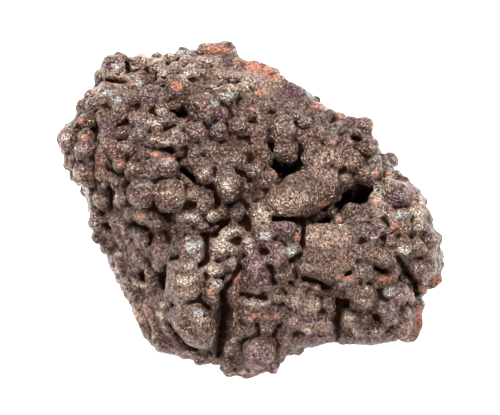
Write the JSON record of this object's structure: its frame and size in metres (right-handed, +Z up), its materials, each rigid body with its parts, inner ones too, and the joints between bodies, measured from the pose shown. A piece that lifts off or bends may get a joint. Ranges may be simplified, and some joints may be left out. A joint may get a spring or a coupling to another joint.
{
  "type": "goethite specimen",
  "caption": "Knobby botryoidal goethite hand specimen, a solid rounded lump of iron ore crusted with grape-like balls and drips, resting on a broken flat base.",
  "frame": {"origin": "a point near the middle of the flat broken base, below the stone's centre of mass", "axes": "+Z up off the base; the knobby face looks towards -Y and up, 55 degrees above level; +X to the viewer's right of that face, along the longest extent"},
  "size_m": [0.0766, 0.07, 0.0443],
  "materials": {
    "goethite": "semi-metallic crust with fine sparkle"
  },
  "bodies": {
    "root": {"goethite_specimen": "goethite"}
  },
  "joints": []
}
